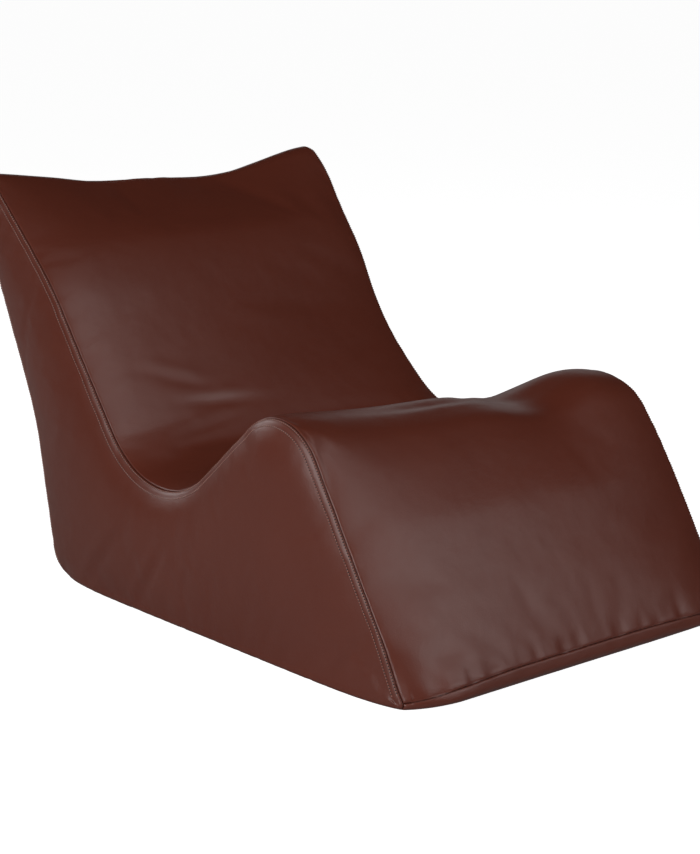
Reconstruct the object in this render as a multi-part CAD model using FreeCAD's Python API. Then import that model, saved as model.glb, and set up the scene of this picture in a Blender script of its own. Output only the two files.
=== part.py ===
"""Bean bag lounger: a sewn leatherette cover over a zipped liner full of polystyrene beads.

Row frame in millimetres: +Z up, the sitter faces -Y, +X is the sitter's left. The origin is on the
floor, under the middle of the overall box. The lounger is one side profile, drawn in the YZ plane and
extruded along X between two shallow domes, and every layer is that same shape set further in.
"""

import math
import os

import FreeCAD
import Part

# ---- driving dimensions -------------------------------------------------------------------------
WIDTH = 750.0  # over the two domed sides
SIDE_RADIUS = 6400.0  # of the large sphere that domes each side
DOME_Y = -60.0  # where the domes stand furthest out
DOME_Z = 300.0
PROFILE_Y = -567.2  # puts the middle of the overall length at Y = 0

# Side profile: distance back from the front foot, height, and corner radius.
FRONT_FOOT = (-12.0, 0.0, 22.0)
REAR_FOOT = (903.0, 0.0, 58.0)
BACK_BEND = (955.0, 270.0, 450.0)
TOP_REAR = (1148.0, 685.0, 34.0)
TOP_FRONT = (1076.0, 685.0, 34.0)
BACKREST_MID = (890.0, 505.0, 600.0)
SEAT_DIP = (612.0, 138.0, 173.0)
KNEE = (259.0, 440.0, 103.0)
FRONT_MID = (60.0, 118.0, 500.0)
PROFILE = [
    FRONT_FOOT,
    REAR_FOOT,
    BACK_BEND,
    TOP_REAR,
    TOP_FRONT,
    BACKREST_MID,
    SEAT_DIP,
    KNEE,
    FRONT_MID,
]

LEATHER = 2.0  # cover thickness, with its backing
LINER = 0.7  # liner cloth
LAYER_GAP = 0.3  # left between one layer and the next
SEAM_GAP = 0.4  # left between two panels sewn edge to edge
BASE_SEAM_Z = 16.0  # the base panel turns up this far
TOP_SEAM_Z = 640.0  # seat panel ends here, behind the crest

THREAD = 0.9  # topstitch thread, width
THREAD_RISE = 0.6  # and how far it stands on the leather
STITCH_ROWS = (3.0, 12.0)  # distance of each topstitched row from the seam

ZIP_UP = 140.0  # zip centre line, measured up the back from the rear foot's corner
ZIP_LENGTH = 560.0
ZIP_SLOT = 6.5  # half height of the slot between the two panels
SLOT_PAST = 8.0  # slot runs past the chain at each end
TAPE_THICK = 0.6
TAPE_EDGE = 16.0  # tape's far edge from the centre line
TEETH_IN = 0.45  # half the gap between the two rows of teeth
TEETH_OUT = 3.0
TEETH_THICK = 2.6
TOOTH_PITCH = 3.5
TOOTH_LENGTH = 1.7
STOP_LENGTH = 4.0
SLIDER_LENGTH = 14.0
SLIDER_NOSE = 5.2  # half width at the wide end
SLIDER_TAIL = 4.3
SLIDER_PLATE = 1.2
SLIDER_CLEAR = 0.3
BRIDGE_HALF = 0.2  # the thin web that joins the slider's plates
BAIL_RISE = 3.8  # bail bar's axis above the slider's top plate
BAIL_HALF = 4.2
BAIL_R = 0.8
PULL_LOOP_R = 2.15
PULL_CORD_R = 0.8
PULL_DROP = 9.0  # from the bail's axis to the top of the grip
GRIP_LENGTH = 27.0
GRIP_THICK = 6.0
GRIP_TOP = 7.0
GRIP_FOOT = 9.5
LINER_ZIP_DEPTH = 7.0  # liner's zip lies this far behind the cover's face
LINER_HOLLOW = 20.0  # half height of the hollow that holds both zips
BEAD_HOLLOW = 12.0  # its depth in the beads

V = FreeCAD.Vector
AXIS_X = V(1, 0, 0)
COVER_IN = LEATHER + LAYER_GAP  # inset of the liner's outer face
LINER_IN = COVER_IN + LINER  # of its inner face
BEADS_IN = LINER_IN + LAYER_GAP  # of the bead fill
RIGHT, LEFT = -1, 1  # the sitter's right is -X


# ---- profile, layers and domes ------------------------------------------------------------------
def unit(a, b):
    """Direction from a to b in the profile plane."""
    length = math.hypot(b[0] - a[0], b[1] - a[1])
    return (b[0] - a[0]) / length, (b[1] - a[1]) / length


def inset_corner(before, corner, after, inset):
    """The corner of the outline once both edges have moved in by inset, and its radius there."""
    u, w = unit(before, corner), unit(corner, after)
    turn = u[0] * w[1] - u[1] * w[0]
    half = 0.5 * math.asin(max(-1.0, min(1.0, turn)))
    if u[0] * w[0] + u[1] * w[1] < 0:
        half = math.copysign(math.pi / 2, turn) - half
    slide = inset * math.tan(half)
    y = corner[0] - inset * u[1] - slide * u[0]
    z = corner[1] + inset * u[0] - slide * u[1]
    radius = corner[2] - math.copysign(inset, turn)
    return y, z, radius, half


def outline(inset=0.0):
    """Face of the side profile in the plane X = 0, moved in by inset, with true arcs at its corners."""
    corners = [(y + PROFILE_Y, z, r) for y, z, r in PROFILE]
    count = len(corners)
    moved = [
        inset_corner(corners[i - 1], corners[i], corners[(i + 1) % count], inset)
        for i in range(count)
    ]
    edges = []
    last = None
    first = None
    for i, (y, z, radius, half) in enumerate(moved):
        u = unit(moved[i - 1], moved[i])
        w = unit(moved[i], moved[(i + 1) % count])
        cut = radius * abs(math.tan(half))
        start = V(0, y - cut * u[0], z - cut * u[1])
        end = V(0, y + cut * w[0], z + cut * w[1])
        bisector = V(0, w[0] - u[0], w[1] - u[1]).normalize()
        middle = V(0, y, z) + bisector * (radius / math.cos(half) - radius)
        if last is None:
            first = start
        else:
            edges.append(Part.LineSegment(last, start).toShape())
        edges.append(Part.Arc(start, middle, end).toShape())
        last = end
    edges.append(Part.LineSegment(last, first).toShape())
    return Part.Face(Part.Wire(edges))


def across(face):
    """A face in the plane X = 0, extruded over the whole width and a little more."""
    bar = face.extrude(V(1.2 * WIDTH, 0, 0))
    bar.translate(V(-0.6 * WIDTH, 0, 0))
    return bar


def ball(side, depth):
    """The large sphere whose surface is the domed side, set in by depth. Its seam is kept off the side."""
    centre = V(side * (WIDTH / 2 - SIDE_RADIUS), DOME_Y, DOME_Z)
    solid = Part.makeSphere(SIDE_RADIUS - depth, centre)
    return solid.rotate(centre, V(0, 0, 1), 90)


def between_domes(shape, depth):
    return shape.common(ball(RIGHT, depth)).common(ball(LEFT, depth))


def region(points):
    """A prism over the width whose section is the polygon of (distance back, height) points."""
    corners = [V(0, y + PROFILE_Y, z) for y, z in points]
    return across(Part.Face(Part.makePolygon(corners + corners[:1])))


# ---- local frame of the zip ---------------------------------------------------------------------
BACK_LEAN = math.degrees(math.atan2(BACK_BEND[0] - REAR_FOOT[0], BACK_BEND[1]))


def on_back(shape):
    """From the zip's own frame (X along it, Y out of the back, Z up the back) to the row frame."""
    placed = shape.copy()
    placed.rotate(V(0, 0, 0), AXIS_X, -BACK_LEAN)
    lean = math.radians(BACK_LEAN)
    y = REAR_FOOT[0] + PROFILE_Y + ZIP_UP * math.sin(lean)
    placed.translate(V(0, y, ZIP_UP * math.cos(lean)))
    return placed


def block(x0, x1, y0, y1, z0, z1):
    return Part.makeBox(x1 - x0, y1 - y0, z1 - z0, V(x0, y0, z0))


def hollow(half_height, depth):
    """The space behind the back panels that holds the zips, down to depth below the cover's face."""
    return on_back(block(-0.6 * WIDTH, 0.6 * WIDTH, -depth, 30, -half_height, half_height))


def slot(half_height):
    """The zip's slot through the back, with the chain and its stops inside it."""
    reach = ZIP_LENGTH / 2 + SLOT_PAST
    return on_back(block(-reach, reach, -30, 30, -half_height, half_height))


# ---- cover --------------------------------------------------------------------------------------
def side_panel(side):
    shell = across(outline()).common(ball(side, 0)).cut(ball(side, LEATHER))
    return shell


def cover_strip():
    """The band of leather that runs round the profile between the side panels."""
    ring = across(outline()).cut(across(outline(LEATHER)))
    return between_domes(ring, LEATHER + SEAM_GAP / 2)


def behind(low, high):
    """The region round the back of the profile, between two heights."""
    return region([(830, low), (1300, low), (1300, high), (1092, high), (830, 150)])


def cover_bands():
    strip = cover_strip()
    half = SEAM_GAP / 2
    floor_part = region([(-200, -50), (1300, -50), (1300, BASE_SEAM_Z), (-200, BASE_SEAM_Z)])
    above = region([(-200, BASE_SEAM_Z + half), (1300, BASE_SEAM_Z + half), (1300, 900), (-200, 900)])
    back = strip.common(behind(BASE_SEAM_Z + half, TOP_SEAM_Z))
    seat = strip.common(above).cut(behind(-50, TOP_SEAM_Z + half))
    split = on_back(block(-0.6 * WIDTH, 0.6 * WIDTH, -40, 500, half, 800))
    under = on_back(block(-0.6 * WIDTH, 0.6 * WIDTH, -40, 40, -200, -half))
    return {
        "base_panel": strip.common(floor_part),
        "seat_panel": seat,
        "back_panel_lower": back.common(under).cut(slot(ZIP_SLOT)),
        "back_panel_upper": back.common(split).cut(slot(ZIP_SLOT)),
    }


def topstitching(side):
    """Two rows of thread on the side panel, beside its seam with the seat and back panels."""
    shell = ball(side, -THREAD_RISE).cut(ball(side, 0))
    clear_of_floor = region([(-200, 22), (1300, 22), (1300, 900), (-200, 900)])
    rows = []
    for inset in STITCH_ROWS:
        row = across(outline(inset)).cut(across(outline(inset + THREAD)))
        rows.append(row.common(clear_of_floor).common(shell))
    return Part.makeCompound([solid for row in rows for solid in row.Solids])


# ---- liner and beads ----------------------------------------------------------------------------
def liner_block(inset, depth, half_height):
    return across(outline(inset)).cut(hollow(half_height, depth))


def liner_parts():
    outer = liner_block(COVER_IN, LINER_ZIP_DEPTH, LINER_HOLLOW)
    inner = liner_block(LINER_IN, LINER_ZIP_DEPTH + LINER, LINER_HOLLOW + LINER)
    wrap = between_domes(outer.cut(inner), LINER_IN + SEAM_GAP / 2)
    parts = {"liner_wrap": wrap.cut(slot(ZIP_SLOT).common(hollow(ZIP_SLOT, 20)))}
    for name, side in (("liner_side_right", RIGHT), ("liner_side_left", LEFT)):
        parts[name] = outer.common(ball(side, COVER_IN)).cut(ball(side, LINER_IN))
    return parts


def bead_fill():
    return between_domes(liner_block(BEADS_IN, BEAD_HOLLOW, LINER_HOLLOW + 1.5), BEADS_IN)


# ---- zips ---------------------------------------------------------------------------------------
def mirrored(shape):
    return shape.mirror(V(0, 0, 0), V(0, 0, 1))


def teeth_row(middle, offset):
    """One row of moulded teeth, above the centre line."""
    half = TEETH_THICK / 2
    count = int(ZIP_LENGTH / TOOTH_PITCH)
    teeth = []
    for i in range(count):
        x = -ZIP_LENGTH / 2 + offset + i * TOOTH_PITCH
        teeth.append(block(x, x + TOOTH_LENGTH, middle - half, middle + half, TEETH_IN, TEETH_OUT))
    return teeth


def slider_body(middle):
    """Two plates joined by a thin web at the wide end, with flanges that stand clear of the tape."""
    top = middle + TEETH_THICK / 2 + SLIDER_CLEAR
    low = middle - TEETH_THICK / 2 - SLIDER_CLEAR
    half = SLIDER_LENGTH / 2
    plan = [
        V(-half, 0, -SLIDER_TAIL),
        V(half - 2, 0, -SLIDER_NOSE),
        V(half, 0, -SLIDER_NOSE + 2),
        V(half, 0, SLIDER_NOSE - 2),
        V(half - 2, 0, SLIDER_NOSE),
        V(-half, 0, SLIDER_TAIL),
    ]
    plate = Part.Face(Part.makePolygon(plan + plan[:1])).extrude(V(0, SLIDER_PLATE, 0))
    upper, lower = plate.copy(), plate.copy()
    upper.translate(V(0, top, 0))
    lower.translate(V(0, low - SLIDER_PLATE, 0))
    body = upper.fuse(lower)
    flange_in = TEETH_OUT + SLIDER_CLEAR
    tape_half = TAPE_THICK / 2 + SLIDER_CLEAR
    for z0, z1 in ((flange_in, SLIDER_TAIL), (-SLIDER_TAIL, -flange_in)):
        body = body.fuse(block(-half, half - 2, middle + tape_half, top, z0, z1))
        body = body.fuse(block(-half, half - 2, low, middle - tape_half, z0, z1))
    web = block(half - 4, half - 1, low - SLIDER_PLATE, top + SLIDER_PLATE, -BRIDGE_HALF, BRIDGE_HALF)
    return body.fuse(web).removeSplitter(), top + SLIDER_PLATE


def bail(plate_top):
    """The arch on the slider that the puller's loop hangs on."""
    axis_y = plate_top + BAIL_RISE
    bar = Part.makeCylinder(BAIL_R, 2 * BAIL_HALF, V(-BAIL_HALF, axis_y, 0), AXIS_X)
    shape = bar
    for x in (-BAIL_HALF, BAIL_HALF):
        leg = Part.makeCylinder(BAIL_R, BAIL_RISE + 0.3, V(x, plate_top - 0.3, 0), V(0, 1, 0))
        knuckle = Part.makeSphere(BAIL_R, V(x, axis_y, 0))
        shape = shape.fuse(leg).fuse(knuckle)
    return shape, axis_y


def puller(axis_y):
    """Cord loop and moulded grip. It hangs plumb from the bail, so it is turned by the back's lean."""
    loop = Part.makeTorus(PULL_LOOP_R, PULL_CORD_R, V(0, 0, 0), AXIS_X)
    loop = loop.cut(block(-5, 5, -5, 5, -5, 0))
    shape = loop
    for y in (-PULL_LOOP_R, PULL_LOOP_R):
        strand = Part.makeCylinder(PULL_CORD_R, PULL_DROP + 1, V(0, y, -PULL_DROP - 1), V(0, 0, 1))
        shape = shape.fuse(strand)
    half = GRIP_THICK / 2
    foot = -PULL_DROP - GRIP_LENGTH
    plan = [
        V(-GRIP_TOP / 2, -half, -PULL_DROP),
        V(GRIP_TOP / 2, -half, -PULL_DROP),
        V(GRIP_FOOT / 2, -half, foot),
        V(-GRIP_FOOT / 2, -half, foot),
    ]
    grip = Part.Face(Part.makePolygon(plan + plan[:1])).extrude(V(0, GRIP_THICK, 0))
    grip = grip.makeFillet(1.6, grip.Edges)
    shape = shape.fuse(grip)
    shape.rotate(V(0, 0, 0), AXIS_X, BACK_LEAN)
    shape.translate(V(0, axis_y, 0))
    return shape


def zip_parts(prefix, face_depth, sheet):
    """Tapes, teeth, stops and slider of a zip sewn behind a sheet whose face is face_depth in."""
    middle = -face_depth - sheet - LAYER_GAP - TAPE_THICK / 2
    reach = ZIP_LENGTH / 2
    tape = block(
        -reach - SLOT_PAST,
        reach + SLOT_PAST,
        middle - TAPE_THICK / 2,
        middle + TAPE_THICK / 2,
        TEETH_OUT + 0.05,
        TAPE_EDGE,
    )
    upper_row = teeth_row(middle, 0.0)
    lower_row = [mirrored(tooth) for tooth in teeth_row(middle, TOOTH_PITCH / 2)]
    half = TEETH_THICK / 2
    stops = [
        block(x, x + STOP_LENGTH, middle - half, middle + half, -TEETH_OUT, TEETH_OUT)
        for x in (-reach - STOP_LENGTH - 0.5, reach + 0.5)
    ]
    slider, plate_top = slider_body(middle)
    parts = {
        "tape_upper": tape,
        "tape_lower": mirrored(tape),
        "teeth_upper": Part.makeCompound(upper_row),
        "teeth_lower": Part.makeCompound(lower_row),
        "end_stops": Part.makeCompound(stops),
    }
    parts = {f"{prefix}_{name}": on_back(shape) for name, shape in parts.items()}
    return parts, slider, plate_top


PARK_X = -ZIP_LENGTH / 2 + SLIDER_LENGTH / 2 + 1.0  # the slider's place with the zip shut


def parked(shape):
    placed = on_back(shape)
    placed.translate(V(PARK_X, 0, 0))
    return placed


# ---- assembly -----------------------------------------------------------------------------------
def build():
    parts = cover_bands()
    for name, side in (("right", RIGHT), ("left", LEFT)):
        parts[f"side_panel_{name}"] = side_panel(side)
        parts[f"topstitching_{name}"] = topstitching(side)
    cover_zip, slider, plate_top = zip_parts("zip", 0.0, LEATHER)
    arch, axis_y = bail(plate_top)
    parts.update(cover_zip)
    parts["zip_slider"] = parked(slider.fuse(arch))
    parts["zip_puller"] = parked(puller(axis_y))
    parts.update(liner_parts())
    liner_zip, liner_slider, _ = zip_parts("liner_zip", LINER_ZIP_DEPTH, LINER)
    parts.update(liner_zip)
    parts["liner_zip_slider"] = parked(liner_slider)
    parts["bead_fill"] = bead_fill()
    return parts, axis_y


def main():
    os.makedirs("parts", exist_ok=True)
    for old in os.listdir("parts"):
        os.remove(os.path.join("parts", old))
    parts, axis_y = build()
    for name, shape in sorted(parts.items()):
        shape.exportStep(os.path.join("parts", name + ".step"))
        box = shape.BoundBox
        print(f"{name:20s} solids {len(shape.Solids):4d} valid {shape.isValid()} "
              f"volume {shape.Volume / 1000:.1f} cm3 "
              f"x {box.XMin:.1f} {box.XMax:.1f} y {box.YMin:.1f} {box.YMax:.1f} z {box.ZMin:.1f} {box.ZMax:.1f}")
    hinge = parked(Part.Vertex(V(0, axis_y, 0))).Vertexes[0].Point
    print("puller hinge", [round(c, 3) for c in hinge])


main()
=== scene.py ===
"""Bean bag lounger in brown leatherette: its looks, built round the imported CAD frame.

Everything is in metres in the row frame: +Z up, the sitter faces -Y, +X is the sitter's left.
The cover is one sewn shell: a strip of leatherette that runs round the side profile, and two side
panels. The whole shell is swelled as cloth, and is then cut along its seams into its panels.
"""

import math

import bpy
import numpy as np
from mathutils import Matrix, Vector, geometry, noise
from mathutils.bvhtree import BVHTree
from mathutils.kdtree import KDTree


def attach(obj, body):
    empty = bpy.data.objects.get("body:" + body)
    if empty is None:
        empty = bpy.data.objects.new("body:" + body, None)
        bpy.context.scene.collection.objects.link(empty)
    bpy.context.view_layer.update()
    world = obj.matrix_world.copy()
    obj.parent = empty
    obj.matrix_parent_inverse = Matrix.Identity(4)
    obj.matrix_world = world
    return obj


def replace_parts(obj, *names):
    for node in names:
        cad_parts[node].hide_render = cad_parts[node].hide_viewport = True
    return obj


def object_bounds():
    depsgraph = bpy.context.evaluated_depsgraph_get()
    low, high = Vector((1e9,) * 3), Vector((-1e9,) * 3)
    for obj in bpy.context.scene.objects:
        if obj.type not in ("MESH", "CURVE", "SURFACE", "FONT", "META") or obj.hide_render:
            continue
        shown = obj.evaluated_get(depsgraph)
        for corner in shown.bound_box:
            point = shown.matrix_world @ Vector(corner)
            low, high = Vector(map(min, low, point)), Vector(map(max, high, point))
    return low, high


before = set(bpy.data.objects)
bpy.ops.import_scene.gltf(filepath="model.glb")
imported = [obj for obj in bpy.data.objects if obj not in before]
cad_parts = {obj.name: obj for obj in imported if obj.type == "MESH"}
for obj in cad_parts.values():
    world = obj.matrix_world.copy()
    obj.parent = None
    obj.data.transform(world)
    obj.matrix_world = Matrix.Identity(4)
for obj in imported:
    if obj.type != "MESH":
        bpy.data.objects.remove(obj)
cad_low, cad_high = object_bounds()

# ---- driving dimensions -------------------------------------------------------------------------
# Side profile as the CAD has it, but for a tighter foot and a fuller lower front: distance back from
# the front foot, height, corner radius.
PROFILE = {
    "front_foot": (0.000, 0.0, 0.008),
    "rear_foot": (0.903, 0.0, 0.058),
    "back_bend": (0.955, 0.270, 0.450),
    "top_rear": (1.148, 0.685, 0.034),
    "top_front": (1.076, 0.685, 0.034),
    "backrest_mid": (0.890, 0.505, 0.600),
    "seat_dip": (0.612, 0.138, 0.173),
    "knee": (0.259, 0.440, 0.103),
    "front_mid": (0.038, 0.082, 0.200),
}
SEAM_X = 0.350  # the side seams run in this plane
DOME_RADIUS = 6.4  # of the sphere that domes each side
DOME_Y, DOME_Z = -0.060, 0.300
DOME_TOP = cad_high.x

LEATHER = 0.002
SIDE_STANDS = 0.008  # each side stands out from its seam at least this far
SIDE_SWELLS = 0.004  # and this much past the CAD's dome
SIDE_EDGE = 0.028  # within about this distance of its seam
CELL = 0.011  # side of the shell's cells before subdivision
CLEAR = 0.62  # share of a cell between the lattice and the rings
RINGS = (0.003, 0.006, 0.009, 0.012, 0.0155)  # rows of narrower cells beside a seam
STITCH_RINGS = (0, 3)  # the topstitching lies on these
FINE = 0.001  # step along the profile where it is only measured
EASED = 0.030  # reach of the averages along it
GENTLE = 0.050  # and for its normals, where lines set in must not cross

FRONT_SEAM_Z = 0.008  # the front seam's height at the corners
FRONT_SEAM_RISE = 0.016  # and how much higher it runs in the middle
FRONT_SEAM_ARCH = 4  # power of its arch
REAR_SEAM_Z = 0.016
TOP_SEAM_Z = 0.640
ZIP_UP = 0.140  # the zip's centre line, up the back from the rear foot's corner
SLOT_HALF = 0.0065  # the zip's slot
SLOT_REACH = 0.288
ZIP_BAND = 0.040  # the back stays true to the CAD this far from the zip
ZIP_STILL = 0.090  # and the bag settles less within about this distance

BASE_MIDDLE, BASE_HALF = -0.13, 0.43  # middle and half length of the flat base
BASE_FLARE = 0.020  # the base is this much wider between its corners
FOOT_PUSH = 0.040  # how far the front foot's middle is pushed forward
FOOT_BEGINS = -0.42  # the push starts at this y
FOOT_GROWS = 0.10  # grows to the full one over this distance
FOOT_FADES = 0.085  # and dies away with about this height
LATE = 8  # power of a shape that stays full until close to its edge
CROWN_ROUND = 2.2  # power of the strip's crown across its width
FLARE_ENDS = 0.05  # height where the base's flare has faded
CROWN_FULL = 0.03  # height from which the crown is full
SEAM_FADE = 0.10  # the front seam's rise fades this far along the profile
ON_FLOOR = 0.002  # points lower than this rest on the floor

PUFF = 0.011  # every panel rises this much beside its seams
# How far the strip's middle then stands out: profile corner, distance past it, height.
CROWN = [
    ("front_foot", 0.03, -PUFF),
    ("rear_foot", -0.05, -PUFF),
    ("rear_foot", 0.05, -0.004),
    ("zip", -ZIP_BAND, -PUFF),
    ("zip", ZIP_BAND, -PUFF),
    ("back_bend", 0.05, -0.003),
    ("back_bend", 0.25, -0.003),
    ("top_rear", -0.06, -0.020),
    ("top_rear", 0.0, -0.046),
    ("top_front", 0.0, -0.049),
    ("top_front", 0.07, -0.030),
    ("backrest_mid", -0.07, 0.006),
    ("backrest_mid", 0.12, 0.006),
    ("seat_dip", 0.0, 0.004),
    ("knee", -0.12, -0.012),
    ("knee", -0.02, -0.036),
    ("knee", 0.03, -0.030),
    ("knee", 0.12, -0.002),
    ("knee", 0.22, 0.014),
    ("front_mid", -0.04, 0.014),
    ("front_foot", -0.02, -0.006),
]
EVERYWHERE = 9.0  # a reach so long that it doesn't fade
# How the filled bag has settled: the way and distance moved, the centre, and the reach along x, y, z.
SETTLED = [
    ((0, 0, -0.017), (0.42, -0.28, 0.39), (0.38, 0.14, 0.14)),  # the left knee hangs
    ((0, 0, -0.021), (0.155, -0.28, 0.39), (0.085, 0.14, 0.14)),  # and the ridge dips beside it
    ((0, 0, 0.005), (0.28, -0.28, 0.39), (0.07, 0.14, 0.14)),
    ((0, 0, -0.017), (0.38, -0.31, 0.37), (0.08, 0.10, 0.10)),  # its outer corner is rounded off
    ((0, -0.006, 0), (-0.32, -0.58, 0.0), (0.10, 0.10, 0.04)),  # the front corners are full
    ((0, -0.006, 0), (0.34, -0.58, 0.0), (0.08, 0.10, 0.04)),
    ((0, 0.030, 0), (0.42, 0.25, 0.42), (0.38, 0.134, 0.134)),  # the backrest is deeper on the left
    ((0.020, 0, 0), (0.42, -0.20, 0.18), (0.25, 0.60, 0.50)),  # the left side bulges
    ((-0.026, 0, 0), (0.42, 0.18, 0.34), (0.30, 0.13, 0.15)),  # but not beside the backrest
    ((-0.007, 0, 0), (0.42, 0.36, 0.52), (0.15, 0.16, 0.10)),
    ((0.020, -0.012, 0), (0.40, 0.54, 0.650), (0.15, 0.18, 0.080)),  # and the ear stands out
    ((0, 0, -0.006), (0.0, 0.53, 0.68), (EVERYWHERE, 0.30, 0.09)),  # both ears are slack
    ((0, 0, -0.011), (0.17, 0.53, 0.64), (0.14, 0.15, 0.09)),  # the crest sags towards the left
    ((0, 0, 0.004), (-0.21, 0.53, 0.66), (0.09, 0.15, 0.09)),
]
# Creases: a point of each, the way across it, half its width, half its length, and its depth.
CREASES = [
    ((-0.02, -0.275, 0.372), (0.10, -0.97, 0.20), 0.014, 0.110, 0.0026),  # along the knees
    ((0.06, -0.245, 0.362), (0.60, -0.75, 0.25), 0.012, 0.060, 0.0022),
    ((-0.13, 0.160, 0.300), (0.10, 0.45, 0.88), 0.011, 0.080, 0.0026),  # low on the backrest
    ((-0.17, 0.145, 0.262), (-0.15, 0.50, 0.85), 0.010, 0.070, 0.0024),
    ((-0.09, 0.120, 0.225), (0.05, 0.60, 0.80), 0.010, 0.060, 0.0018),
    ((-0.20, 0.190, 0.345), (0.35, 0.40, 0.85), 0.012, 0.060, 0.0016),
    ((-0.27, -0.545, 0.060), (0.70, 0.0, -0.71), 0.026, 0.070, 0.0020),  # up from the front corner
    ((-0.37, 0.020, 0.070), (0.0, 0.80, 0.60), 0.012, 0.070, 0.0026),  # low on the right side
    ((-0.37, 0.150, 0.080), (0.0, 0.70, 0.70), 0.013, 0.080, 0.0024),
    ((0.37, -0.060, 0.080), (0.0, -0.75, 0.66), 0.012, 0.080, 0.0026),  # and on the left
    ((0.37, 0.110, 0.120), (0.0, 0.80, 0.60), 0.013, 0.070, 0.0022),
    ((0.10, 0.430, 0.300), (0.25, 0.0, 0.97), 0.013, 0.100, 0.0026),  # across the back
    ((-0.12, 0.420, 0.345), (-0.20, 0.0, 0.98), 0.014, 0.090, 0.0022),
]


# ---- profile ------------------------------------------------------------------------------------
def unit(v):
    return v / np.linalg.norm(v)


def left_of(v):
    return np.array([-v[1], v[0]])


def turned(v, angle):
    c, s = math.cos(angle), math.sin(angle)
    return np.array([c * v[0] - s * v[1], s * v[0] + c * v[1]])


def smooth_step(x):
    x = np.clip(x, 0, 1)
    return x * x * (3 - 2 * x)


def eased(table, reach):
    """A closed table with a value for each fine step, averaged over the reach on both sides."""
    width = int(reach / FINE)
    window = np.hanning(2 * width + 1)
    padded = np.concatenate([table[-width:], table, table[:width]])
    return np.convolve(padded, window / window.sum(), "valid")


class Profile:
    """The closed side outline, read by the distance s along it from the front foot's arc."""

    def __init__(self):
        corners = [np.array(c[:2]) for c in PROFILE.values()]
        radii = [c[2] for c in PROFILE.values()]
        points, middles = [], []
        for i, (corner, radius) in enumerate(zip(corners, radii)):
            u = unit(corner - corners[i - 1])
            w = unit(corners[(i + 1) % len(corners)] - corner)
            turn = math.atan2(u[0] * w[1] - u[1] * w[0], u @ w)
            side = math.copysign(1.0, turn)
            centre = corner - u * radius * math.tan(abs(turn) / 2) + side * radius * left_of(u)
            steps = 2 * math.ceil(radius * abs(turn) / FINE / 2)
            middles.append(len(points) + steps // 2)
            for k in range(steps + 1):
                points.append(centre + turned(-side * radius * left_of(u), turn * k / steps))
        ring = np.array(points + points[:1])
        ring[:, 0] += cad_high.y - ring[:, 0].max()
        along = np.concatenate([[0], np.cumsum(np.linalg.norm(np.diff(ring, axis=0), axis=1))])
        self.length = along[-1]
        self.s = np.arange(0, self.length, FINE)
        self.y = np.interp(self.s, along, ring[:, 0])
        self.z = np.interp(self.s, along, ring[:, 1])
        dy = np.roll(self.y, -2) - np.roll(self.y, 2)
        dz = np.roll(self.z, -2) - np.roll(self.z, 2)
        size = np.hypot(dy, dz)
        self.ny, self.nz = dz / size, -dy / size
        self.ey, self.ez = eased(self.ny, GENTLE), eased(self.nz, GENTLE)
        self.places = {name: along[i] for name, i in zip(PROFILE, middles)}

    def read(self, values, s):
        return np.interp(np.mod(s, self.length), np.append(self.s, self.length), np.append(values, values[0]))

    def point(self, s):
        return self.read(self.y, s), self.read(self.z, s)

    def normal(self, s):
        return self.read(self.ny, s), self.read(self.nz, s)

    def eased_normal(self, s):
        """The normal as it turns gently round the corners, so that lines set in don't cross."""
        y, z = self.read(self.ey, s), self.read(self.ez, s)
        size = np.hypot(y, z)
        return y / size, z / size

    def at_height(self, z, start, end):
        """The place between start and end whose height is z."""
        s = np.arange(start, end, FINE / 4)
        return s[np.argmin(np.abs(self.point(s)[1] - z))]


profile = Profile()
places = profile.places
places["front_seam"] = profile.at_height(FRONT_SEAM_Z, places["front_mid"], profile.length)
places["rear_seam"] = profile.at_height(REAR_SEAM_Z, places["rear_foot"], places["back_bend"])
places["top_seam"] = profile.at_height(TOP_SEAM_Z, places["back_bend"], places["top_rear"])
back_lean = math.atan2(
    PROFILE["back_bend"][0] - PROFILE["rear_foot"][0],
    PROFILE["back_bend"][1] - PROFILE["rear_foot"][1],
)
places["zip"] = profile.at_height(ZIP_UP * math.cos(back_lean), places["rear_foot"], places["back_bend"])


def crown_table():
    """The crown at every fine step of the profile, smoothed."""
    known = sorted(((places[name] + past) % profile.length, height) for name, past, height in CROWN)
    s = np.array([k[0] for k in known])
    height = np.array([k[1] for k in known])
    return eased(np.interp(profile.s, s, height, period=profile.length), EASED)


crown = crown_table()


def dome_x(y, z):
    """Where the CAD's domed side stands, for a point of the profile plane."""
    r2 = (y - DOME_Y) ** 2 + (z - DOME_Z) ** 2
    return DOME_TOP - DOME_RADIUS + np.sqrt(DOME_RADIUS**2 - r2)


# ---- shell --------------------------------------------------------------------------------------
def spaced(start, end):
    """Places from start up to but not including end, about one cell apart."""
    count = max(1, round((end - start) / CELL))
    return [start + (end - start) * k / count for k in range(count)]


def between_seams(start, end):
    """Places from start up to end, closer together beside both, where the seams are."""
    low = [start + ring for ring in RINGS]
    high = [end - ring for ring in RINGS[::-1]]
    return [start] + low[:-1] + spaced(low[-1], high[0]) + high


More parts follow.
